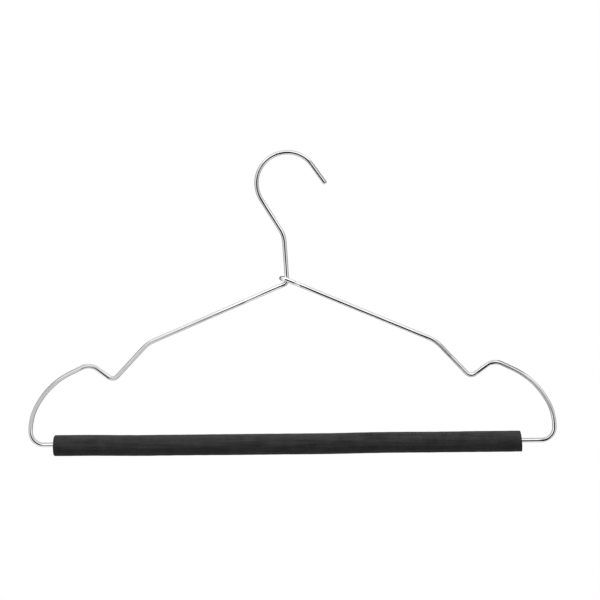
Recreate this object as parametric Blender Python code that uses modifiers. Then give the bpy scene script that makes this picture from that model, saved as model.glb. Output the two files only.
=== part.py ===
"""A suit hanger: one bent wire that is hook, neck, shoulders and trouser bar, and a foam sleeve on the bar.

Metres, +Z up. The hanger lies in the XZ plane and is seen from -Y. The origin is the hook's seat, the point
inside its crown that rests on the rail.
"""

import math

import bmesh
import bpy
import numpy as np
from mathutils import Vector
from mathutils.geometry import intersect_line_line

# The wire. Every radius, run and place of it is measured on its centreline.
WIRE_DIAMETER = 0.0035
END_CHAMFER = 0.0004
WIDTH = 0.4225

# Hook and neck, both ways down from the hook's crown. Directions are in degrees above +X.
HOOK_RADIUS = 0.0246
HOOK_TIP_DIRECTION = -54.7
HOOK_TIP_RUN = 0.0182
HEEL_DIRECTION = 301.7
HEEL_RUN = 0.0287
NECK_RADIUS = 0.021
NECK_DIRECTION = 273.4
NECK_RUN = 0.0302
FOOT_RADIUS = 0.004

# One end of the body, from the bar up to the shoulder: each bend, and the straight after it.
CORNER_RADIUS = 0.0104
SIDE_DIRECTION = 90
SIDE_RUN = 0.0006
SIDE_RADIUS = 0.0422
FLANK_DIRECTION = 121.8
FLANK_RUN = 0.0016
FLANK_RADIUS = 0.06
BROW_DIRECTION = 154.7
BROW_RUN = 0.01
PEAK_RADIUS = 0.012
NOTCH_WALL_DIRECTION = 216.3
NOTCH_WALL_RUN = 0.0112
NOTCH_RADIUS = 0.0053
STEEP_DIRECTION = 133.3
STEEP_RUN = 0.0302
SHOULDER_RADIUS = 0.0266
SHOULDER_DIRECTION = 157.2

# The middle of the bar stands a little to the right of the hook's seat.
BAR_OFFSET = 0.0023

# The wrap. The right shoulder passes behind the neck, turns round it and ends in front of it.
WRAP_GAP = 0.0005
TAIL_RUN = 0.007

# The sleeve hangs from the bar by the top of its bore, and leaves a stub of bare bar at each end.
SLEEVE_WALL = 0.00495
SLEEVE_DROP = 0.0011
SLEEVE_SEAT_GAP = 0.0003
LEFT_STUB = 0.0079
RIGHT_STUB = 0.015
RIM_RADIUS = 0.0012
BORE_RIM_RADIUS = 0.0005

# How finely round shapes are cut, and how near two points of the turned sleeve are before they are one.
BEND_STEP = 7.5
WIRE_BEVEL_RESOLUTION = 6
SLEEVE_SIDES = 48
RIM_STEPS = 4
GAP_SAMPLES_PER_DIAMETER = 6
MERGE_DISTANCE = 0.00001

WIRE_RADIUS = WIRE_DIAMETER / 2
HALF_WIDTH = WIDTH / 2 - WIRE_RADIUS
WRAP_RADIUS = WIRE_DIAMETER + WRAP_GAP
BORE_RADIUS = WIRE_RADIUS + SLEEVE_SEAT_GAP + SLEEVE_DROP
BACK = Vector((0, 1, 0))

BODY_BENDS = [
    (CORNER_RADIUS, SIDE_DIRECTION, SIDE_RUN),
    (SIDE_RADIUS, FLANK_DIRECTION, FLANK_RUN),
    (FLANK_RADIUS, BROW_DIRECTION, BROW_RUN),
    (PEAK_RADIUS, NOTCH_WALL_DIRECTION, NOTCH_WALL_RUN),
    (NOTCH_RADIUS, STEEP_DIRECTION, STEEP_RUN),
    (SHOULDER_RADIUS, SHOULDER_DIRECTION, 0),
]


def heading(degrees):
    """The unit vector in the hanger's plane at this angle above +X."""
    angle = math.radians(degrees)
    return Vector((math.cos(angle), 0, math.sin(angle)))


def steps_of(turn):
    """How many facets a bend of this many degrees gets."""
    return max(1, math.ceil(abs(turn) / BEND_STEP))


def bend(start, before, after, radius):
    """The points after start along a bend in the hanger's plane, from one direction to another."""
    turn = after - before
    side = math.copysign(90, turn)
    centre = start + radius * heading(before + side)
    steps = steps_of(turn)
    return [centre - radius * heading(before + side + turn * step / steps) for step in range(1, steps + 1)]


def bent_wire(start, direction, bends):
    """The points of a wire that leaves start in a direction and makes each bend, with a straight after it."""
    points = [start]
    for radius, after, run in bends:
        points += bend(points[-1], direction, after, radius)
        if run:
            points.append(points[-1] + run * heading(after))
        direction = after
    return points


def hook_and_neck():
    """From the hook's tip, over its crown and down the neck. The crown's inside is at the origin."""
    crown = Vector((0, 0, WIRE_RADIUS))
    to_tip = bent_wire(crown, 0, [(HOOK_RADIUS, HOOK_TIP_DIRECTION, HOOK_TIP_RUN)])
    bends = [
        (HOOK_RADIUS, HEEL_DIRECTION, HEEL_RUN),
        (NECK_RADIUS, NECK_DIRECTION, NECK_RUN),
    ]
    return to_tip[:0:-1] + bent_wire(crown, 180, bends)


def right_end():
    """The right end, from the end of the straight bar to the shoulder, with the bar's middle at zero."""
    return bent_wire(Vector((HALF_WIDTH - CORNER_RADIUS, 0, 0)), 0, BODY_BENDS)


def bar_middle(foot, shoulder_bend):
    """The middle of the bar, placed so that the left shoulder runs straight to the neck's foot."""
    along = foot.x - BAR_OFFSET + shoulder_bend.x
    rise = along * math.tan(math.radians(180 - SHOULDER_DIRECTION))
    return Vector((BAR_OFFSET, 0, foot.z - rise - shoulder_bend.z))


def wrap(shoulder_bend, neck_end):
    """The half turn round the neck, from behind it to its front, and the tail along the shoulder.

    It lies in the plane of the right shoulder's direction and +Y, which cuts the slanting neck in an ellipse,
    so its middle is moved along the shoulder until it clears the neck's left side too.
    """
    up_shoulder = heading(SHOULDER_DIRECTION)
    down_neck = heading(NECK_DIRECTION)
    crossing = intersect_line_line(
        shoulder_bend, shoulder_bend + up_shoulder, neck_end, neck_end + down_neck
    )[0]
    reach = WRAP_RADIUS / math.sin(up_shoulder.angle(down_neck))
    centre = crossing + (reach - WRAP_RADIUS) * up_shoulder
    steps = steps_of(180)
    angles = [math.pi / 2 - math.pi * step / steps for step in range(steps + 1)]
    turn = [
        centre + WRAP_RADIUS * (math.cos(angle) * up_shoulder + math.sin(angle) * BACK) for angle in angles
    ]
    return turn + [crossing - WRAP_RADIUS * BACK - TAIL_RUN * up_shoulder]


def wire_route():
    """The wire's centreline from the hook's tip to the end of its tail, and the middle of the bar."""
    neck = hook_and_neck()
    foot = bend(neck[-1], NECK_DIRECTION, 360 - SHOULDER_DIRECTION, FOOT_RADIUS)
    end = right_end()
    middle = bar_middle(foot[-1], end[-1])
    left = [middle + Vector((-point.x, 0, point.z)) for point in reversed(end)]
    right = [middle + point for point in end]
    return neck + foot + left + right + wrap(right[-1], neck[-1]), middle


def least_gap(route):
    """The least distance between the wire's surfaces where it comes back past itself.

    Points closer along the wire than a diameter's circumference are neighbours, and aren't compared.
    """
    corners = np.array(route)
    lengths = np.linalg.norm(np.diff(corners, axis=0), axis=1)
    places = np.concatenate([[0], np.cumsum(lengths)])
    samples = np.arange(0, places[-1], WIRE_DIAMETER / GAP_SAMPLES_PER_DIAMETER)
    points = np.stack([np.interp(samples, places, corners[:, axis]) for axis in range(3)], axis=1)
    past_itself = math.ceil(math.pi * GAP_SAMPLES_PER_DIAMETER)
    distances = [
        np.linalg.norm(points[index + past_itself :] - point, axis=1).min()
        for index, point in enumerate(points[:-past_itself])
    ]
    return min(distances) - WIRE_DIAMETER


def material(name, colour, metallic, roughness):
    made = bpy.data.materials.new(name)
    made.use_nodes = True
    shader = made.node_tree.nodes["Principled BSDF"]
    shader.inputs["Base Color"].default_value = (*colour, 1)
    shader.inputs["Metallic"].default_value = metallic
    shader.inputs["Roughness"].default_value = roughness
    made.diffuse_color = (*colour, 1)
    return made


def wire_frame(route):
    """The wire as a tube along its route, with a chamfer at each cut end."""
    inside_start = route[0] + END_CHAMFER * (route[1] - route[0]).normalized()
    inside_end = route[-1] + END_CHAMFER * (route[-2] - route[-1]).normalized()
    points = [route[0], inside_start, *route[1:-1], inside_end, route[-1]]
    curve = bpy.data.curves.new("wire_frame", "CURVE")
    curve.dimensions = "3D"
    curve.bevel_depth = WIRE_RADIUS
    curve.bevel_resolution = WIRE_BEVEL_RESOLUTION
    curve.use_fill_caps = True
    spline = curve.splines.new("POLY")
    spline.points.add(len(points) - 1)
    for spline_point, point in zip(spline.points, points):
        spline_point.co = (*point, 1)
    for cut_end in (spline.points[0], spline.points[-1]):
        cut_end.radius = 1 - END_CHAMFER / WIRE_RADIUS
    curve.materials.append(material("bright chrome", (0.86, 0.87, 0.88), 1.0, 0.08))
    return bpy.data.objects.new("wire_frame", curve)


def sleeve_profile(half_length):
    """(radius, place along the axis) round the sleeve's wall: down its outer side and back up its bore."""
    outer_radius = BORE_RADIUS + SLEEVE_WALL
    corners = [
        (outer_radius - RIM_RADIUS, half_length - RIM_RADIUS, RIM_RADIUS),
        (outer_radius - RIM_RADIUS, RIM_RADIUS - half_length, RIM_RADIUS),
        (BORE_RADIUS + BORE_RIM_RADIUS, BORE_RIM_RADIUS - half_length, BORE_RIM_RADIUS),
        (BORE_RADIUS + BORE_RIM_RADIUS, half_length - BORE_RIM_RADIUS, BORE_RIM_RADIUS),
    ]
    profile = []
    for index, (radius, place, rim) in enumerate(corners):
        for step in range(RIM_STEPS + 1):
            angle = math.pi / 2 * (1 - index - step / RIM_STEPS)
            profile.append((radius + rim * math.cos(angle), place + rim * math.sin(angle)))
    return profile


def foam_sleeve(middle):
    """The sleeve as a turned tube along +X, with its origin on its own axis, which it rolls about."""
    low = LEFT_STUB + CORNER_RADIUS - HALF_WIDTH
    high = HALF_WIDTH - CORNER_RADIUS - RIGHT_STUB
    mesh = bpy.data.meshes.new("foam_sleeve")
    build = bmesh.new()
    ring = [build.verts.new((radius, 0, place)) for radius, place in sleeve_profile((high - low) / 2)]
    for first, second in zip(ring, ring[1:] + ring[:1]):
        build.edges.new((first, second))
    build.to_mesh(mesh)
    build.free()
    mesh.materials.append(material("black foam", (0.05, 0.05, 0.052), 0.0, 0.85))
    sleeve = bpy.data.objects.new("foam_sleeve", mesh)
    sleeve.location = middle + Vector(((low + high) / 2, 0, -SLEEVE_DROP))
    sleeve.rotation_euler = (0, math.pi / 2, 0)
    turn = sleeve.modifiers.new("Turn", "SCREW")
    turn.axis = "Z"
    turn.steps = SLEEVE_SIDES
    turn.render_steps = SLEEVE_SIDES
    turn.use_merge_vertices = True
    turn.merge_threshold = MERGE_DISTANCE
    turn.use_smooth_shade = True
    return sleeve


def clear_scene():
    for old in list(bpy.data.objects):
        bpy.data.objects.remove(old, do_unlink=True)


def build_hanger():
    clear_scene()
    hanger = bpy.data.collections.new("suit_hanger")
    bpy.context.scene.collection.children.link(hanger)
    route, middle = wire_route()
    seat = bpy.data.objects.new("hook_seat", None)
    hanger.objects.link(seat)
    for piece in (wire_frame(route), foam_sleeve(middle)):
        hanger.objects.link(piece)
        piece.parent = seat
    print(f"The bar's middle is at x {middle.x * 1000:.2f} mm, z {middle.z * 1000:.2f} mm")
    print(f"The wire's least gap to itself is {least_gap(route) * 1000:.2f} mm")


build_hanger()
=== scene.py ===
"""How the suit hanger looks: its chrome wire, its foam sleeve, the studio round it and the camera.

Metres, +Z up, the hook's seat at the origin. The hanger lies in the XZ plane and is seen from -Y.
"""

import math

import bpy
import numpy as np
from mathutils import Matrix, Vector
from mathutils.geometry import intersect_line_line


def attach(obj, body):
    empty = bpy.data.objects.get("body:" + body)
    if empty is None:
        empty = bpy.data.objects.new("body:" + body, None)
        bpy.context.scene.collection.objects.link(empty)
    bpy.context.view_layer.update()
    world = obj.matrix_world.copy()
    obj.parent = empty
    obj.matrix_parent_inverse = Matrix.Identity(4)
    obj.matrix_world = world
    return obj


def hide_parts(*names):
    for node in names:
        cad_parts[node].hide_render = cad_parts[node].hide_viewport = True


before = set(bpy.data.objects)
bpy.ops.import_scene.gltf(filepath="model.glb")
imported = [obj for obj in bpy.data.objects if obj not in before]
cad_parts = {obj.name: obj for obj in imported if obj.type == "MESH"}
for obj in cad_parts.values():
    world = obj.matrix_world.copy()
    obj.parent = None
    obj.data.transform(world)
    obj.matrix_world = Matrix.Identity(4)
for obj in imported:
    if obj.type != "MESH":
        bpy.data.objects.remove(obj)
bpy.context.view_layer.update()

# The wire's centreline, as the CAD source has it. Directions are in degrees above +X.
WIRE_DIAMETER = 0.0035
WIDTH = 0.4225
HOOK_RADIUS = 0.0246
HOOK_TIP_DIRECTION = -54.7
HOOK_TIP_RUN = 0.0182
HEEL_DIRECTION = 301.7
HEEL_RUN = 0.0287
NECK_RADIUS = 0.021
NECK_DIRECTION = 273.4
NECK_RUN = 0.0302
FOOT_RADIUS = 0.004
CORNER_RADIUS = 0.0104
SIDE_DIRECTION = 90
SIDE_RUN = 0.0006
SIDE_RADIUS = 0.0422
FLANK_DIRECTION = 121.8
FLANK_RUN = 0.0016
FLANK_RADIUS = 0.06
BROW_DIRECTION = 154.7
BROW_RUN = 0.01
PEAK_RADIUS = 0.012
NOTCH_WALL_DIRECTION = 216.3
NOTCH_WALL_RUN = 0.0112
NOTCH_RADIUS = 0.0053
STEEP_DIRECTION = 133.3
STEEP_RUN = 0.0302
SHOULDER_RADIUS = 0.0266
SHOULDER_DIRECTION = 157.2
BAR_OFFSET = 0.0023
WRAP_GAP = 0.0005
TAIL_RUN = 0.007

# The sleeve, as the CAD source has it.
SLEEVE_WALL = 0.00495
SLEEVE_DROP = 0.0011
SLEEVE_SEAT_GAP = 0.0003
LEFT_STUB = 0.0079
RIGHT_STUB = 0.015

# Sizes that follow from these. BACK points away from the viewer.
WIRE_RADIUS = WIRE_DIAMETER / 2
HALF_WIDTH = WIDTH / 2 - WIRE_RADIUS
WRAP_RADIUS = WIRE_DIAMETER + WRAP_GAP
LEFT_SHOULDER_DIRECTION = 360 - SHOULDER_DIRECTION
BORE_RADIUS = WIRE_RADIUS + SLEEVE_SEAT_GAP + SLEEVE_DROP
SLEEVE_RADIUS = BORE_RADIUS + SLEEVE_WALL
BACK = Vector((0, 1, 0))

# The right end's bends from the bar's corner up to the shoulder: radius, direction after, run after.
BODY_BENDS = [
    (CORNER_RADIUS, SIDE_DIRECTION, SIDE_RUN),
    (SIDE_RADIUS, FLANK_DIRECTION, FLANK_RUN),
    (FLANK_RADIUS, BROW_DIRECTION, BROW_RUN),
    (PEAK_RADIUS, NOTCH_WALL_DIRECTION, NOTCH_WALL_RUN),
    (NOTCH_RADIUS, STEEP_DIRECTION, STEEP_RUN),
    (SHOULDER_RADIUS, SHOULDER_DIRECTION, 0),
]

# How finely the visible wire and sleeve are cut. A bend's step is in degrees.
BEND_STEP = 2.5
WIRE_STEP = 0.0015
WIRE_SIDES = 32
SLEEVE_STEP = 0.0012
BORE_STEP = 4 * SLEEVE_STEP
SLEEVE_SIDES = 96
RIM_STEPS = 6
END_STEPS = 5

# Seeded sums of waves: the seed, how many, and the least and most periods per metre. Each wave has up to
# MOST_TURNS periods round the piece, either way, and a strength from LEAST_SHARE to 1.
WIRE_WAVES = (5, 9, 14, 60)
LUMP_WAVES = (11, 26, 12, 110)
DENT_WAVES = (23, 10, 3, 14)
MOST_TURNS = 3
LEAST_SHARE = 0.4

# The bending tool presses the inside of a tight bend flat by BEND_PRESS. A bend counts as tight from a
# radius of TIGHT_BEND / TIGHT_FROM down, and in full from TIGHT_BEND / (TIGHT_FROM + 1) down. This is
# averaged over TIGHT_BLEND points each way. Below LEAST_CURVATURE, per metre, the wire has no inside.
TIGHT_BEND = 0.0125
TIGHT_FROM = 0.9
TIGHT_BLEND = 3
LEAST_CURVATURE = 1
BEND_PRESS = 0.00007

# The loop round the neck is wound a little loosely. It hangs lower, most where it is turned so far
# towards the front, and stands out further than in the CAD source.
LOOP_DROP = 0.0009
LOOP_DROP_TURN = math.radians(-35)
LOOP_BULGE = 0.0005

# The wire's cut ends, each with a rounded rim and a slight dome, and its faint waviness. The route has no
# ring nearer to a cut than RIM_CLEAR times the rim, and rings up to WAVY_SHARE of the radius aren't wavy.
TIP_RIM = 0.00045
TAIL_RIM = 0.0008
RIM_CLEAR = 1.02
CUT_DOME = 0.00012
WAVE = 0.000012
WAVY_SHARE = 0.99

# The foam's rims and its outside, which swells past the CAD source's, has lumps and dents, lies a little
# higher and sags. SAG_REACH has the places along X where the sag begins, is full from and to, and ends.
LEFT_RIM = 0.0015
RIGHT_RIM = 0.0005
BORE_RIM = 0.0005
FOAM_SWELL = 0.0003
FOAM_LUMP = 0.00005
FOAM_DENT = 0.00012
FOAM_NOISE_LIMIT = 2
FOAM_LIFT = 0.00039
FOAM_SAG = 0.0005
SAG_REACH = (-0.165, -0.115, 0.02, 0.08)

# The foam's two cuts aren't quite square. The right one is drawn back, and by RIGHT_CUT_SLANT more at its
# top than at its foot. The left one slants by LEFT_CUT_SLANT for each metre of height. The foam gives way
# to them over CUT_REACH.
CUT_REACH = 0.006
RIGHT_CUT_BACK = 0.0008
RIGHT_CUT_SLANT = 0.0012
LEFT_CUT_SLANT = 0.02

# The chrome's two tones and its spots, how its drawing lines are stretched along the wire and its
# scratches across it, the distances from the hook's seat where the wear there ends and is full, its
# roughness where it is clear and hazy, and what lines, scratches and rubbed places add to that.
PLATE_DARK = (0.845, 0.85, 0.86, 1)
PLATE_PALE = (0.885, 0.885, 0.885, 1)
SPOT_COLOUR = (0.62, 0.62, 0.63, 1)
SPOT_STRENGTH = 0.12
DRAWN_STRETCH = (1, 1, 0.012)
SCRATCH_STRETCH = (0.2, 0.2, 1)
HOOK_SEAT = (0, 0, 0)
SEAT_WEAR = (0.022, 0.004)
CLEAR_ROUGHNESS = 0.015
HAZY_ROUGHNESS = 0.06
DRAWN_ROUGHNESS = 0.03
SCRATCH_ROUGHNESS = 0.16
RUBBED_ROUGHNESS = 0.05

# The foam's two colours and the tone and strength of the painted shade in its cells' pits, how its streaks
# are stretched along it, what blotches, streaks and grain add to its mottling, and its roughness, gloss and
# sheen.
FOAM_DARK = (0.0061, 0.0059, 0.0054, 1)
FOAM_PALE = (0.0232, 0.0225, 0.0206, 1)
PIT_SHADE_TONE = 0.0085
PIT_SHADE_STRENGTH = 0.45
STREAK_STRETCH = (0.03, 1, 1)
BLOTCH_STRENGTH = 0.35
STREAK_STRENGTH = 0.4
GRAIN_STRENGTH = 0.35
FOAM_LEAST_ROUGHNESS = 0.72
FOAM_MOST_ROUGHNESS = 0.92
FOAM_SPECULAR = 0.1
FOAM_SHEEN = 0.03
FOAM_SHEEN_ROUGHNESS = 0.5

# The photograph's framing, at the hanger's plane. The roll is in degrees, the sensor's width in millimetres.
VIEW_WIDTH = 0.48
CAMERA_DISTANCE = 1.5
CAMERA_AIM = Vector((0.00929, 0, -0.11656))
CAMERA_ROLL = 0.56
SENSOR = 36

# The floor. FLOOR_FADE has the shares of its radius where it has faded out and where it is full.
FLOOR_HEIGHT = -1.0
FLOOR_RADIUS = 2.2
FLOOR_SIDES = 96
FLOOR_FADE = (0.95, 0.45)
FLOOR_COLOUR = (0.69, 0.68, 0.65, 1)
FLOOR_ROUGHNESS = 0.8

# The lights on the foam: name, place, length of a side, watts and colour.
LIGHTS = [
    ("key_light", (-0.1, -0.7, 1.3), 0.9, 78, (0.825, 0.83, 1.0)),
    ("rear_light", (0.3, 1.3, 0.5), 0.9, 16, (1.0, 1.0, 1.0)),
]

# The studio, as the chrome sees it. Its bright floor turns into its brighter top between two heights of
# the unit direction, and the camera itself sees plain white all round.
STUDIO_BOTTOM = 1.1
STUDIO_TOP = 1.4
STUDIO_LOW = -0.35
STUDIO_HIGH = 0.12
BACKGROUND = 1.0

# Soft spots of another tone come one over the other: two side walls, and behind the hanger a dark gap
# round a lit wall with a dark core. Each has its direction from the hanger, its inner and outer reach in
# degrees, and its tone.
STUDIO_SPOTS = {
    "left_wall": ((-1, 0, -0.05), 26, 66, 0.74),
    "right_wall": ((1, 0, -0.1), 24, 60, 0.68),
    "rear_gap": ((0, 1, 0), 60, 74, 0.08),
    "rear_wall": ((0, 1, 0), 22, 36, 0.85),
    "rear_core": ((0.05, 1, 0.12), 8, 16, 0.1),
}

# The studio's dark side, where the photograph's camera stands: an oval in the XZ plane of the unit
# direction, with its middle, half width, half height and tone. DARK_EDGE has the shares of its size where
# it has faded out and where it is full, and DARK_FRONT the same two for how far a direction points forward.
DARK_MIDDLE = (0.01, 0, -0.23)
DARK_WIDTH = 0.6
DARK_HEIGHT = 0.63
DARK_EDGE = (1.05, 0.95)
DARK_FRONT = (0.0, 0.1)
DARK_TONE = 0.0

# Cards and dark flags close to the wire, mostly in front of it, which only its reflections see. The left
# end's pale card keeps the dark camera side out of the chrome there, and the small ones give single runs
# a line of their own. Each has its middle, the width and height of its full part, how far it fades beyond
# each of these, its turn in degrees and its tone.
CARDS = [
    ("left_card", (-0.33, -0.02, 0.0165), 0.4, 0.465, 0.095, 0.01, 0, 0.61),
    ("left_rear_card", (-0.5, 0.1, 0.02), 0.4, 0.6, 0.04, 0.04, 0, 0.25),
    ("notch_flag", (-0.158, -0.014, -0.1855), 0.012, 0.028, 0.004, 0.004, -36, 0.0),
    ("notch_card", (-0.1415, -0.014, -0.1625), 0.012, 0.02, 0.004, 0.004, -36, 0.75),
    ("stub_card", (-0.191, -0.012, -0.2264), 0.014, 0.0122, 0.003, 0.0015, 0, 1.3),
    ("right_stub_card", (0.193, -0.012, -0.2215), 0.014, 0.012, 0.004, 0.003, 0, 1.3),
    ("tip_flag", (0.0435, -0.008, -0.0019), 0.034, 0.026, 0.001, 0.004, 35, 0.0),
    ("tip_card", (0.0269, -0.008, -0.0134), 0.0045, 0.018, 0.0005, 0.004, 35, 1.3),
    ("tip_core_flag", (0.0172, -0.008, -0.0201), 0.0155, 0.018, 0.0005, 0.004, 35, 0.0),
    ("brow_flag", (0.2054, -0.014, -0.1206), 0.034, 0.062, 0.008, 0.003, -25, 0.0),
    ("brow_rear_flag", (0.1975, 0.005, -0.1375), 0.03, 0.0626, 0.008, 0.003, -25, 0.0),
    ("brow_far_flag", (0.2418, -0.0145, -0.0426), 0.08, 0.12, 0.015, 0.01, -25, 0.0),
    ("brow_rear_far_flag", (0.2287, 0.0055, -0.0707), 0.07, 0.092, 0.012, 0.01, -25, 0.0),
    ("brow_core_card", (0.1851, -0.0125, -0.1907), 0.04, 0.024, 0.006, 0.003, -39.4, 0.22),
    ("flank_core_card", (0.1941, -0.012, -0.1952), 0.02, 0.02, 0.006, 0.003, -52, 0.38),
    ("flank_card", (0.2153, -0.0205, -0.1755), 0.03, 0.034, 0.008, 0.004, -50, 0.82),
    ("brow_card", (0.1898, -0.02, -0.1541), 0.03, 0.036, 0.008, 0.003, -25, 1.1),
    ("right_card", (0.218, -0.03, -0.186), 0.04, 0.04, 0.015, 0.015, 0, 0.4),
    ("right_flag", (0.208, -0.02, -0.268), 0.04, 0.02, 0.01, 0.01, 0, 0.0),
    ("right_notch_flag", (0.1697, -0.0115, -0.1895), 0.0096, 0.027, 0.003, 0.003, 36, 0.0),
    ("right_steep_card", (0.129, -0.02, -0.168), 0.03, 0.018, 0.01, 0.005, -47, 0.28),
    ("left_shoulder_card", (-0.077, -0.05, -0.112), 0.08, 0.03, 0.015, 0.005, 22.8, 1.2),
    ("left_bend_card", (-0.1056, -0.012, -0.1232), 0.036, 0.026, 0.01, 0.004, 22.8, 1.15),
    ("left_steep_card", (-0.1295, -0.0125, -0.1515), 0.022, 0.006, 0.003, 0.002, 46.7, 1.2),
    ("left_steep_flag", (-0.1535, -0.0125, -0.1366), 0.03, 0.036, 0.004, 0.002, 46.7, 0.3),
    ("left_brow_card", (-0.1693, -0.01, -0.1884), 0.014, 0.024, 0.003, 0.003, 24, 0.65),
    ("left_peak_card", (-0.1727, -0.0095, -0.1623), 0.04, 0.012, 0.01, 0.003, 25, 0.95),
    ("left_edge_flag", (-0.2115, -0.0105, -0.1387), 0.07, 0.05, 0.012, 0.005, 33, 0.1),
    ("right_edge_flag", (0.0828, -0.0105, -0.0813), 0.1, 0.05, 0.012, 0.005, -22.8, 0.4),
    ("steep_edge_flag", (0.168, -0.0105, -0.131), 0.024, 0.05, 0.006, 0.005, -47, 0.3),
    ("notch_edge_flag", (0.1269, -0.011, -0.1308), 0.014, 0.05, 0.004, 0.005, 36, 0.4),
    ("crown_edge_flag", (-0.008, -0.0105, 0.045), 0.07, 0.05, 0.012, 0.005, 0, 0.4),
    ("heel_flag", (-0.0175, -0.0117, -0.0512), 0.03, 0.0135, 0.006, 0.002, -58.3, 0.0),
    ("hook_core_flag", (-0.019, -0.0117, -0.024), 0.009, 0.034, 0.003, 0.006, 0, 0.1),
    ("left_low_card", (-0.0505, -0.0125, -0.1515), 0.036, 0.026, 0.008, 0.004, 22.8, 0.6),
    ("left_foot_card", (-0.0104, -0.012, -0.1351), 0.026, 0.028, 0.006, 0.004, 22.8, 1.1),
    ("foot_card", (0.0031, -0.0075, -0.1081), 0.003, 0.003, 0.001, 0.001, 45, 1.1),
    ("tail_gap_card", (0.0051, -0.008, -0.1094), 0.0015, 0.007, 0.0008, 0.001, -22.8, 1.1),
    ("right_shoulder_card", (0.078, -0.05, -0.106), 0.07, 0.03, 0.015, 0.005, -22.8, 1.1),
    ("right_shoulder_flag", (0.0362, -0.05, -0.1931), 0.1, 0.1, 0.012, 0.005, -22.8, 0.0),
]


def heading(degrees):
    """The unit vector in the hanger's plane at this angle above +X."""
    angle = math.radians(degrees)
    return Vector((math.cos(angle), 0, math.sin(angle)))


def bend(start, before, after, radius):
    """The points after start along a bend in the hanger's plane, from one direction to another."""
    turn = after - before
    side = math.copysign(90, turn)
    centre = start + radius * heading(before + side)
    steps = max(1, math.ceil(abs(turn) / BEND_STEP))
    return [centre - radius * heading(before + side + turn * step / steps) for step in range(1, steps + 1)]


def bent_wire(start, direction, bends):
    """The points of a wire that leaves start in a direction and makes each bend, with a straight after it."""
    points = [start]
    for radius, after, run in bends:
        points += bend(points[-1], direction, after, radius)
        if run:
            points.append(points[-1] + run * heading(after))
        direction = after
    return points


def hook_and_neck():
    """The points from the hook's tip over its crown, and down the neck to its foot."""
    crown = Vector((0, 0, WIRE_RADIUS))
    to_tip = bent_wire(crown, 0, [(HOOK_RADIUS, HOOK_TIP_DIRECTION, HOOK_TIP_RUN)])
    bends = [(HOOK_RADIUS, HEEL_DIRECTION, HEEL_RUN), (NECK_RADIUS, NECK_DIRECTION, NECK_RUN)]
    return to_tip[:0:-1] + bent_wire(crown, 180, bends)


def bar_middle(foot, shoulder_bend):
    """The middle of the bar, placed so that the left shoulder runs straight to the neck's foot."""
    along = foot.x - BAR_OFFSET + shoulder_bend.x
    rise = along * math.tan(math.radians(180 - SHOULDER_DIRECTION))
    return Vector((BAR_OFFSET, 0, foot.z - rise - shoulder_bend.z))


def wrap(shoulder_bend, neck_end):
    """The half turn round the neck, from behind it to its front, and the tail along the shoulder."""
    up_shoulder = heading(SHOULDER_DIRECTION)
    down_neck = heading(NECK_DIRECTION)
    crossing = intersect_line_line(
        shoulder_bend, shoulder_bend + up_shoulder, neck_end, neck_end + down_neck
    )[0]
    reach = WRAP_RADIUS / math.sin(up_shoulder.angle(down_neck))
    centre = crossing + (reach - WRAP_RADIUS) * up_shoulder
    steps = math.ceil(180 / BEND_STEP)
    turn = []
    for step in range(steps + 1):
        angle = math.pi / 2 - math.pi * step / steps
        bulge = LOOP_BULGE * math.cos(angle) ** 2
        drop = LOOP_DROP * max(0, math.cos(angle - LOOP_DROP_TURN)) ** 2 * math.cos(angle)
        round_neck = math.cos(angle) * up_shoulder + math.sin(angle) * BACK
        turn.append(centre + WRAP_RADIUS * round_neck + bulge * up_shoulder - Vector((0, 0, drop)))
    return turn + [crossing - WRAP_RADIUS * BACK - TAIL_RUN * up_shoulder]


def wire_route():
    """The wire's centreline from the hook's tip to the end of its tail, and the middle of the bar."""
    neck = hook_and_neck()
    foot = bend(neck[-1], NECK_DIRECTION, LEFT_SHOULDER_DIRECTION, FOOT_RADIUS)
    end = bent_wire(Vector((HALF_WIDTH - CORNER_RADIUS, 0, 0)), 0, BODY_BENDS)
    middle = bar_middle(foot[-1], end[-1])
    left = [middle + Vector((-point.x, 0, point.z)) for point in reversed(end)]
    right = [middle + point for point in end]
    return neck + foot + left + right + wrap(right[-1], neck[-1]), middle


def smooth_noise(seed, count, least, most):
    """A seeded sum of waves, as a function of the place along a piece and the angle round it."""
    rng = np.random.default_rng(seed)
    waves = rng.uniform(least, most, count)
    turns = rng.integers(-MOST_TURNS, MOST_TURNS + 1, count)
    phases = rng.uniform(0, 2 * math.pi, count)
    shares = rng.uniform(LEAST_SHARE, 1, count)

    def value(place, angle):
        total = sum(
            share * np.sin(2 * math.pi * wave * place + turn * angle + phase)
            for wave, turn, phase, share in zip(waves, turns, phases, shares)
        )
        return total / math.sqrt(float((shares**2).sum()) / 2)

    return value


def filled_in(points):
    """The route with points added on its straights, so that no step is longer than WIRE_STEP."""
    rows = [np.array(points[0])]
    for first, second in zip(points, points[1:]):
        gap = (second - first).length
        steps = max(1, math.ceil(gap / WIRE_STEP))
        rows += [np.array(first.lerp(second, step / steps)) for step in range(1, steps + 1)]
    return np.array(rows)


def transported(points):
    """Along the route: its tangents, and two vectors across it that turn with it and don't twist."""
    ahead = np.gradient(points, axis=0)
    ahead /= np.linalg.norm(ahead, axis=1)[:, None]
    across = np.empty_like(points)
    across[0] = np.cross(ahead[0], BACK)
    for index in range(1, len(points)):
        carried = across[index - 1] - across[index - 1].dot(ahead[index]) * ahead[index]
        across[index] = carried / np.linalg.norm(carried)
    return ahead, across, np.cross(ahead, across)


def softened(values, reach):
    """The values averaged over so many neighbours each way."""
    window = np.ones(2 * reach + 1) / (2 * reach + 1)
    padded = np.pad(values, reach, mode="edge")
    return np.convolve(padded, window, mode="valid")


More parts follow.
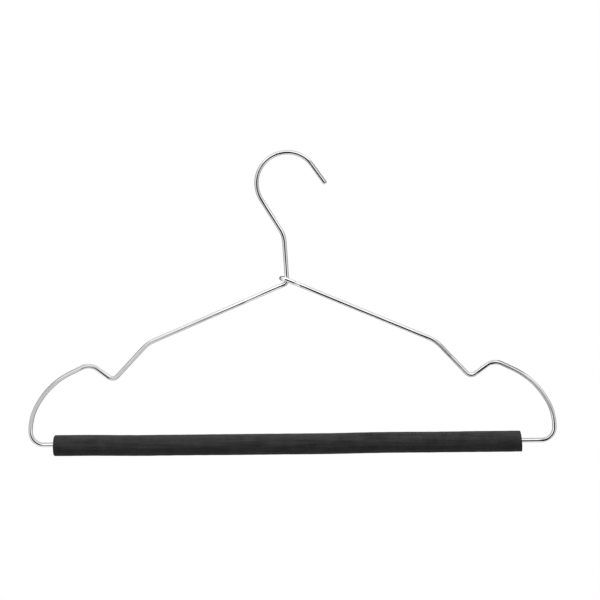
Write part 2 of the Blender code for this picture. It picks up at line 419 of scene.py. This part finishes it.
def tight_bends(points, ahead):
    """How tightly the route bends at each point, from 0 to 1, and the unit vector to its inside."""
    steps = np.linalg.norm(np.gradient(points, axis=0), axis=1)
    inward = np.gradient(ahead, axis=0) / steps[:, None]
    curvature = np.linalg.norm(inward, axis=1)
    tight = softened(np.clip(curvature * TIGHT_BEND - TIGHT_FROM, 0, 1), TIGHT_BLEND)
    bent = curvature[:, None] > LEAST_CURVATURE
    return tight, np.divide(inward, curvature[:, None], out=np.zeros_like(inward), where=bent)


def mesh_object(name, points, faces):
    """A new object in the scene, with a mesh of these points and faces."""
    mesh = bpy.data.meshes.new(name)
    mesh.from_pydata([tuple(point) for point in points], [], faces)
    made = bpy.data.objects.new(name, mesh)
    bpy.context.scene.collection.objects.link(made)
    return made


def smooth_piece(name, points, faces, values):
    """A smooth-shaded object with named values kept at its points."""
    piece = mesh_object(name, points, faces)
    mesh = piece.data
    mesh.validate()
    for key, given in values.items():
        vectors = given.ndim == 2
        layer = mesh.attributes.new(key, "FLOAT_VECTOR" if vectors else "FLOAT", "POINT")
        layer.data.foreach_set("vector" if vectors else "value", given.astype(np.float32).ravel())
    mesh.polygons.foreach_set("use_smooth", [True] * len(mesh.polygons))
    mesh.update()
    return piece


def ring_faces(rings, sides, closed=False):
    """Quads between each ring of points and the next, and between the last and the first if closed."""
    faces = []
    for ring in range(rings if closed else rings - 1):
        near = ring * sides
        far = (ring + 1) % rings * sides
        for side in range(sides):
            following = (side + 1) % sides
            faces.append((near + side, near + following, far + following, far + side))
    return faces


def tip_faces(rings, sides):
    """Triangles from a tube's first and last ring to the two points after its rings, which close it."""
    first_tip = rings * sides
    last_ring = first_tip - sides
    faces = []
    for side in range(sides):
        following = (side + 1) % sides
        faces.append((following, side, first_tip))
        faces.append((last_ring + side, last_ring + following, first_tip + 1))
    return faces


def end_profile(cut_rim):
    """(place from the cut end, share of the wire's radius) over a cut's rim and face, from the outside in."""
    angles = [math.pi / 2 * step / RIM_STEPS for step in range(1, RIM_STEPS + 1)]
    rim = [
        (cut_rim * (1 - math.sin(angle)), 1 - cut_rim / WIRE_RADIUS * (1 - math.cos(angle)))
        for angle in angles
    ]
    flat = rim[-1][1]
    face = [
        (-CUT_DOME * (1 - (step / END_STEPS) ** 2), flat * step / END_STEPS)
        for step in range(END_STEPS - 1, 0, -1)
    ]
    return rim + face


def wire_rings(points, ahead, lengths):
    """(centre, share of the radius, index on the route, length so far) of each ring, from tip to tail."""
    rings = []
    for place, share in reversed(end_profile(TIP_RIM)):
        rings.append((points[0] + place * ahead[0], share, 0, place))
    start = TIP_RIM * RIM_CLEAR
    end = lengths[-1] - TAIL_RIM * RIM_CLEAR
    for index in np.flatnonzero((lengths > start) & (lengths < end)):
        rings.append((points[index], 1.0, index, lengths[index]))
    last = len(points) - 1
    for place, share in end_profile(TAIL_RIM):
        rings.append((points[last] - place * ahead[last], share, last, lengths[-1] - place))
    return rings


def wire_piece(route):
    """The wire as a fine tube: its rounded cut ends, the pressed insides of its tight bends, a faint wave."""
    points = filled_in(route)
    ahead, across, beside = transported(points)
    tight, inside = tight_bends(points, ahead)
    lengths = np.concatenate([[0], np.cumsum(np.linalg.norm(np.diff(points, axis=0), axis=1))])
    rings = wire_rings(points, ahead, lengths)
    angles = np.arange(WIRE_SIDES) * 2 * math.pi / WIRE_SIDES
    wave = smooth_noise(*WIRE_WAVES)
    rows, places, presses = [], [], []
    for centre, share, index, length in rings:
        out = np.cos(angles)[:, None] * across[index] + np.sin(angles)[:, None] * beside[index]
        facing = np.clip(out @ inside[index], 0, 1)
        radius = WIRE_RADIUS * share - BEND_PRESS * tight[index] * facing**2
        radius = radius + WAVE * wave(length, angles) * (share > WAVY_SHARE)
        rows.append(centre + radius[:, None] * out)
        along = np.full(WIRE_SIDES, length)
        places.append(np.stack([WIRE_RADIUS * np.cos(angles), WIRE_RADIUS * np.sin(angles), along], axis=1))
        presses.append(tight[index] * facing)
    rows.append(np.array([points[0] - CUT_DOME * ahead[0], points[-1] + CUT_DOME * ahead[-1]]))
    places.append(np.array([[0, 0, 0], [0, 0, lengths[-1]]]))
    presses.append(np.zeros(2))
    faces = ring_faces(len(rings), WIRE_SIDES) + tip_faces(len(rings), WIRE_SIDES)
    values = {"wire_place": np.concatenate(places), "pressed": np.concatenate(presses)}
    return smooth_piece("hanger_wire", np.concatenate(rows), faces, values)


def end_face(rim):
    """The radii down a cut end's flat face, from its outer rim to its bore's rim."""
    face_from, face_to = SLEEVE_RADIUS - rim, BORE_RADIUS + BORE_RIM
    return [face_from + (face_to - face_from) * step / END_STEPS for step in range(1, END_STEPS + 1)]


def sleeve_profile(half_length):
    """(radius, place along the axis, how far into cut foam) once round the sleeve's wall."""
    # The outside, from left to right.
    start, end = LEFT_RIM - half_length, half_length - RIGHT_RIM
    steps = math.ceil((end - start) / SLEEVE_STEP)
    profile = [(SLEEVE_RADIUS, start + (end - start) * step / steps, 0.0) for step in range(steps + 1)]
    quarter = [math.pi / 2 * step / RIM_STEPS for step in range(1, RIM_STEPS + 1)]
    # The right end's outer rim, its face and its bore's rim.
    for angle in quarter:
        radius = SLEEVE_RADIUS - RIGHT_RIM * (1 - math.cos(angle))
        profile.append((radius, half_length - RIGHT_RIM * (1 - math.sin(angle)), math.sin(angle) ** 2))
    profile += [(radius, half_length, 1.0) for radius in end_face(RIGHT_RIM)]
    for angle in quarter:
        radius = BORE_RADIUS + BORE_RIM * (1 - math.sin(angle))
        profile.append((radius, half_length - BORE_RIM * (1 - math.cos(angle)), 1.0))
    # The bore, from right to left.
    bore_steps = math.ceil(2 * half_length / BORE_STEP)
    bore = [(half_length - BORE_RIM) * (1 - 2 * step / bore_steps) for step in range(1, bore_steps)]
    profile += [(BORE_RADIUS, place, 1.0) for place in bore]
    # The left end's bore's rim, its face and its outer rim.
    for angle in [0, *quarter]:
        radius = BORE_RADIUS + BORE_RIM * (1 - math.cos(angle))
        profile.append((radius, -half_length + BORE_RIM * (1 - math.sin(angle)), 1.0))
    profile += [(radius, -half_length, 1.0) for radius in reversed(end_face(LEFT_RIM)[:-1])]
    for angle in [0, *quarter[:-1]]:
        radius = SLEEVE_RADIUS - LEFT_RIM * (1 - math.sin(angle))
        profile.append((radius, -half_length + LEFT_RIM * (1 - math.cos(angle)), math.cos(angle) ** 2))
    return profile


def sagging(place):
    """How much of the sleeve's sag is reached at a place along X."""
    left, left_full, right_full, right = SAG_REACH
    rising = (place - left) / (left_full - left)
    falling = (right - place) / (right - right_full)
    share = min(1, max(0, min(rising, falling)))
    return share * share * (3 - 2 * share)


def cut_slant(place, height, half_length):
    """How far a point moves along the sleeve, near its ends, for the cuts there."""
    near_right = np.clip((place - half_length) / CUT_REACH + 1, 0, 1)
    near_left = np.clip((-place - half_length) / CUT_REACH + 1, 0, 1)
    rise = (height / SLEEVE_RADIUS + 1) / 2
    slant = -near_right * (RIGHT_CUT_BACK + RIGHT_CUT_SLANT * rise)
    return slant + LEFT_CUT_SLANT * near_left * (height + SLEEVE_RADIUS)


def sleeve_piece(middle):
    """The sleeve as a soft tube, lumpy as foam is, with a slight sag and two ends cut not quite square."""
    low = LEFT_STUB + CORNER_RADIUS - HALF_WIDTH
    high = HALF_WIDTH - CORNER_RADIUS - RIGHT_STUB
    half_length = (high - low) / 2
    centre = middle + Vector(((low + high) / 2, 0, -SLEEVE_DROP))
    lumps = smooth_noise(*LUMP_WAVES)
    dents = smooth_noise(*DENT_WAVES)
    angles = np.arange(SLEEVE_SIDES) * 2 * math.pi / SLEEVE_SIDES
    rows, cuts = [], []
    profile = sleeve_profile(half_length)
    for radius, place, cut in profile:
        outside = np.clip((radius - BORE_RADIUS) / SLEEVE_WALL, 0, 1) ** 2
        lump = np.clip(lumps(place, angles), -FOAM_NOISE_LIMIT, FOAM_NOISE_LIMIT)
        dent = np.clip(dents(place, angles), -FOAM_NOISE_LIMIT, 0)
        noise = FOAM_LUMP * lump / FOAM_NOISE_LIMIT + FOAM_DENT * dent / FOAM_NOISE_LIMIT
        rounds = radius + (noise + FOAM_SWELL) * outside
        lift = FOAM_LIFT - FOAM_SAG * sagging(centre.x + place)
        height = rounds * np.sin(angles) + lift * outside
        along = centre.x + place + cut_slant(place, height, half_length)
        rows.append(np.stack([along, centre.y + rounds * np.cos(angles), centre.z + height], axis=1))
        cuts.append(np.full(SLEEVE_SIDES, cut))
    faces = ring_faces(len(profile), SLEEVE_SIDES, closed=True)
    return smooth_piece("sleeve_foam", np.concatenate(rows), faces, {"cut_foam": np.concatenate(cuts)})


class Nodes:
    """Short ways to add and join the nodes of a material or the world."""

    def __init__(self, tree):
        self.tree = tree

    def add(self, kind, **settings):
        node = self.tree.nodes.new("ShaderNode" + kind)
        for key, value in settings.items():
            setattr(node, key, value)
        return node

    def put(self, socket, value):
        """Sets a socket to a value, or joins it to another node's output."""
        if isinstance(value, bpy.types.NodeSocket):
            self.tree.links.new(value, socket)
        else:
            socket.default_value = value

    def math(self, operation, first, second=0.0):
        node = self.add("Math", operation=operation)
        self.put(node.inputs[0], first)
        self.put(node.inputs[1], second)
        return node.outputs[0]

    def vector(self, operation, first, second):
        node = self.add("VectorMath", operation=operation)
        self.put(node.inputs[0], first)
        self.put(node.inputs[1], second)
        return node.outputs["Value" if operation in ("DOT_PRODUCT", "DISTANCE") else "Vector"]

    def ramp(self, value, low, high, to_low=0.0, to_high=1.0, kind="SMOOTHSTEP"):
        """The value's place between low and high, as one between to_low and to_high."""
        node = self.add("MapRange", interpolation_type=kind)
        names = ("Value", "From Min", "From Max", "To Min", "To Max")
        for name, given in zip(names, (value, low, high, to_low, to_high)):
            self.put(node.inputs[name], given)
        return node.outputs["Result"]

    def mix(self, share, first, second):
        """Two colours mixed. The node's inputs 6 and 7 and its output 2 are the ones for colours."""
        node = self.add("Mix", data_type="RGBA")
        self.put(node.inputs["Factor"], share)
        self.put(node.inputs[6], first)
        self.put(node.inputs[7], second)
        return node.outputs[2]

    def noise(self, vector, scale, detail=2.0, roughness=0.5):
        node = self.add("TexNoise")
        self.put(node.inputs["Vector"], vector)
        self.put(node.inputs["Scale"], scale)
        self.put(node.inputs["Detail"], detail)
        self.put(node.inputs["Roughness"], roughness)
        return node.outputs[0]

    def cells(self, vector, scale, feature="F1"):
        node = self.add("TexVoronoi", feature=feature)
        self.put(node.inputs["Vector"], vector)
        self.put(node.inputs["Scale"], scale)
        return node.outputs["Distance"]

    def bump(self, height, strength, distance, normal=None):
        node = self.add("Bump")
        self.put(node.inputs["Height"], height)
        self.put(node.inputs["Strength"], strength)
        self.put(node.inputs["Distance"], distance)
        if normal is not None:
            self.put(node.inputs["Normal"], normal)
        return node.outputs["Normal"]


def new_material(name):
    """A new material, its nodes and its shader."""
    made = bpy.data.materials.new(name)
    made.use_nodes = True
    nodes = Nodes(made.node_tree)
    return made, nodes, made.node_tree.nodes["Principled BSDF"]


def grey(level):
    """A neutral colour of this level."""
    return (level, level, level, 1)


def chrome_material():
    """Bright chrome plate over drawn wire: drawing lines, haze, spots, rubbed places and fine scratches."""
    made, nodes, shader = new_material("chrome_wire_look")
    place = nodes.add("Attribute", attribute_name="wire_place").outputs["Vector"]
    pressed = nodes.add("Attribute", attribute_name="pressed").outputs["Fac"]
    position = nodes.add("TexCoord").outputs["Object"]

    drawn = nodes.noise(nodes.vector("MULTIPLY", place, DRAWN_STRETCH), scale=4200, detail=3)
    crosswise = nodes.vector("MULTIPLY", place, SCRATCH_STRETCH)
    scratches = nodes.ramp(nodes.noise(crosswise, scale=2600, detail=4, roughness=0.7), low=0.66, high=0.8)
    haze = nodes.noise(position, scale=38, detail=3, roughness=0.6)
    spots = nodes.ramp(nodes.noise(position, scale=700, detail=2), low=0.62, high=0.8)
    seat = nodes.ramp(nodes.vector("DISTANCE", position, HOOK_SEAT), *SEAT_WEAR)
    rubbed = nodes.math("MAXIMUM", seat, pressed)
    worn = nodes.math("MULTIPLY", scratches, rubbed)

    plate = nodes.mix(nodes.ramp(haze, low=0.3, high=0.7), PLATE_DARK, PLATE_PALE)
    plate = nodes.mix(nodes.math("MULTIPLY", spots, SPOT_STRENGTH), plate, SPOT_COLOUR)
    nodes.put(shader.inputs["Base Color"], plate)
    shader.inputs["Metallic"].default_value = 1

    rough = nodes.ramp(haze, low=0.3, high=0.75, to_low=CLEAR_ROUGHNESS, to_high=HAZY_ROUGHNESS)
    for part, strength in ((drawn, DRAWN_ROUGHNESS), (worn, SCRATCH_ROUGHNESS), (rubbed, RUBBED_ROUGHNESS)):
        rough = nodes.math("ADD", rough, nodes.math("MULTIPLY", part, strength))
    nodes.put(shader.inputs["Roughness"], rough)

    normal = nodes.bump(drawn, strength=0.3, distance=0.000012)
    normal = nodes.bump(worn, strength=0.5, distance=0.00001, normal=normal)
    ripple = nodes.noise(position, scale=160, detail=1)
    normal = nodes.bump(ripple, strength=0.1, distance=0.00004, normal=normal)
    nodes.put(shader.inputs["Normal"], normal)
    return made


def foam_material():
    """Matte black closed-cell foam: fine cells under a thin skin with painted shade in their pits, faint
    mottling and lengthwise streaks.
    """
    made, nodes, shader = new_material("black_foam_look")
    position = nodes.add("TexCoord").outputs["Object"]
    cut = nodes.add("Attribute", attribute_name="cut_foam").outputs["Fac"]

    streaks = nodes.noise(nodes.vector("MULTIPLY", position, STREAK_STRETCH), scale=900, detail=3)
    blotches = nodes.noise(position, scale=95, detail=4, roughness=0.65)
    grain = nodes.noise(position, scale=1100, detail=3, roughness=0.7)
    cells = nodes.cells(position, scale=2400)
    big_cells = nodes.cells(position, scale=1300, feature="SMOOTH_F1")
    open_cells = nodes.math("MULTIPLY", big_cells, cut)

    tone = nodes.math("MULTIPLY", blotches, BLOTCH_STRENGTH)
    for part, strength in ((streaks, STREAK_STRENGTH), (grain, GRAIN_STRENGTH)):
        tone = nodes.math("ADD", tone, nodes.math("MULTIPLY", part, strength))
    colour = nodes.mix(nodes.ramp(tone, low=0.4, high=0.7, kind="LINEAR"), FOAM_DARK, FOAM_PALE)
    # The cells' pits are darkened in the colour: this is painted shade in their hollows.
    pit_shade = nodes.math("SUBTRACT", 1.0, nodes.ramp(cells, low=0.1, high=0.55))
    colour = nodes.mix(nodes.math("MULTIPLY", pit_shade, PIT_SHADE_STRENGTH), colour, grey(PIT_SHADE_TONE))
    nodes.put(shader.inputs["Base Color"], colour)
    rough = nodes.ramp(grain, low=0.3, high=0.7, to_low=FOAM_LEAST_ROUGHNESS, to_high=FOAM_MOST_ROUGHNESS)
    nodes.put(shader.inputs["Roughness"], rough)
    shader.inputs["Specular IOR Level"].default_value = FOAM_SPECULAR
    shader.inputs["Sheen Weight"].default_value = FOAM_SHEEN
    shader.inputs["Sheen Roughness"].default_value = FOAM_SHEEN_ROUGHNESS

    normal = nodes.bump(grain, strength=0.35, distance=0.0001)
    normal = nodes.bump(cells, strength=0.5, distance=0.00012, normal=normal)
    normal = nodes.bump(open_cells, strength=0.8, distance=0.0003, normal=normal)
    normal = nodes.bump(blotches, strength=0.15, distance=0.0003, normal=normal)
    normal = nodes.bump(streaks, strength=0.25, distance=0.00015, normal=normal)
    nodes.put(shader.inputs["Normal"], normal)
    return made


def wall_tone(nodes, direction):
    """The tone of the studio's floor, top and walls in a direction."""
    height = nodes.vector("DOT_PRODUCT", direction, (0, 0, 1))
    tone = nodes.mix(nodes.ramp(height, STUDIO_LOW, STUDIO_HIGH), grey(STUDIO_BOTTOM), grey(STUDIO_TOP))
    for towards, inner, outer, level in STUDIO_SPOTS.values():
        nearness = nodes.vector("DOT_PRODUCT", direction, Vector(towards).normalized())
        share = nodes.ramp(nearness, math.cos(math.radians(outer)), math.cos(math.radians(inner)))
        tone = nodes.mix(share, tone, grey(level))
    return tone


def dark_side(nodes, direction):
    """How much of the studio's dark side shows in a direction."""
    offset = nodes.vector("SUBTRACT", direction, DARK_MIDDLE)
    scaled = nodes.vector("MULTIPLY", offset, (1 / DARK_WIDTH, 0, 1 / DARK_HEIGHT))
    oval = nodes.ramp(nodes.vector("DISTANCE", scaled, (0, 0, 0)), *DARK_EDGE)
    in_front = nodes.ramp(nodes.vector("DOT_PRODUCT", direction, (0, -1, 0)), *DARK_FRONT)
    return nodes.math("MULTIPLY", oval, in_front)


def studio_world():
    """White for the camera. For light and reflections, the studio's walls, floor and dark camera side."""
    world = bpy.data.worlds.new("studio")
    world.use_nodes = True
    nodes = Nodes(world.node_tree)
    direction = nodes.add("TexCoord").outputs["Generated"]
    tone = nodes.mix(dark_side(nodes, direction), wall_tone(nodes, direction), grey(DARK_TONE))
    seen = nodes.add("LightPath").outputs["Is Camera Ray"]
    background = world.node_tree.nodes["Background"]
    nodes.put(background.inputs["Color"], nodes.mix(seen, tone, grey(BACKGROUND)))
    bpy.context.scene.world = world


def card_material(name, centre, spans, tone):
    """An even glow that fades out past each (axis, half size, fade) of a card."""
    made = bpy.data.materials.new(name)
    made.use_nodes = True
    made.node_tree.nodes.clear()
    nodes = Nodes(made.node_tree)
    place = nodes.vector("SUBTRACT", nodes.add("TexCoord").outputs["Object"], centre)
    shown = 1.0
    for axis, half, fade in spans:
        away = nodes.math("ABSOLUTE", nodes.vector("DOT_PRODUCT", place, axis))
        shown = nodes.math("MULTIPLY", shown, nodes.ramp(away, half + fade, half))
    glow = nodes.add("Emission")
    glow.inputs["Color"].default_value = grey(tone)
    blend = nodes.add("MixShader")
    nodes.put(blend.inputs[0], shown)
    nodes.put(blend.inputs[1], nodes.add("BsdfTransparent").outputs[0])
    nodes.put(blend.inputs[2], glow.outputs[0])
    nodes.put(nodes.add("OutputMaterial").inputs["Surface"], blend.outputs[0])
    return made


def card(name, middle, width, height, side_fade, end_fade, turn, tone):
    """A card parallel to the hanger, which glows in its tone, fades at its edges and shows in the chrome."""
    centre = Vector(middle)
    along = heading(turn)
    up = Vector((-along.z, 0, along.x))
    spans = [(along, width / 2, side_fade), (up, height / 2, end_fade)]
    side, end = [(half + fade) * axis for axis, half, fade in spans]
    corners = [centre - side - end, centre + side - end, centre + side + end, centre - side + end]
    made = mesh_object(name, corners, [(0, 1, 2, 3)])
    made.data.materials.append(card_material(name, centre, spans, tone))
    made.visible_camera = False
    made.visible_diffuse = False
    made.visible_shadow = False


def soft_light(name, place, size, watts, colour):
    """A large square light aimed at the hanger's middle. It lights the foam and isn't seen in the chrome."""
    data = bpy.data.lights.new(name, "AREA")
    data.shape = "SQUARE"
    data.size = size
    data.energy = watts
    data.color = colour
    light = bpy.data.objects.new(name, data)
    light.location = place
    light.rotation_euler = (CAMERA_AIM - Vector(place)).to_track_quat("-Z", "Y").to_euler()
    light.visible_camera = False
    light.visible_glossy = False
    bpy.context.scene.collection.objects.link(light)


def floor():
    """A plain pale disc far below the hanger, whose rim fades into the white."""
    turns = [2 * math.pi * side / FLOOR_SIDES for side in range(FLOOR_SIDES)]
    rim = [(FLOOR_RADIUS * math.cos(turn), FLOOR_RADIUS * math.sin(turn), FLOOR_HEIGHT) for turn in turns]
    disc = mesh_object("floor", rim, [tuple(range(FLOOR_SIDES))])
    made, nodes, shader = new_material("pale_floor")
    shader.inputs["Base Color"].default_value = FLOOR_COLOUR
    shader.inputs["Roughness"].default_value = FLOOR_ROUGHNESS
    position = nodes.add("TexCoord").outputs["Object"]
    away = nodes.vector("DISTANCE", position, (0, 0, FLOOR_HEIGHT))
    fade_out, fade_in = [FLOOR_RADIUS * share for share in FLOOR_FADE]
    nodes.put(shader.inputs["Alpha"], nodes.ramp(away, fade_out, fade_in))
    disc.data.materials.append(made)
    disc.visible_glossy = False


def camera():
    """The photograph's camera, straight in front of the hanger and rolled a little."""
    data = bpy.data.cameras.new("camera")
    data.sensor_width = SENSOR
    data.lens = SENSOR * CAMERA_DISTANCE / VIEW_WIDTH
    made = bpy.data.objects.new("camera", data)
    roll = math.radians(CAMERA_ROLL)
    right = Vector((math.cos(roll), 0, -math.sin(roll)))
    up = Vector((math.sin(roll), 0, math.cos(roll)))
    made.matrix_world = Matrix((right, up, -BACK)).transposed().to_4x4()
    made.location = CAMERA_AIM - CAMERA_DISTANCE * BACK
    bpy.context.scene.collection.objects.link(made)
    bpy.context.scene.camera = made


def dress(piece, material, body, node):
    """Gives a piece its material, its body and the node that it replaces."""
    piece.data.materials.append(material)
    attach(piece, body)
    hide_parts(node)


route, middle = wire_route()
wire = wire_piece(route)
sleeve = sleeve_piece(middle)
dress(wire, chrome_material(), "frame", "wire_frame")
dress(sleeve, foam_material(), "sleeve", "foam_sleeve")

studio_world()
for values in CARDS:
    card(*values)
for values in LIGHTS:
    soft_light(*values)
floor()
camera()
# The tones are shown as they are, so that the white round the hanger stays white.
bpy.context.scene.view_settings.view_transform = "Standard"
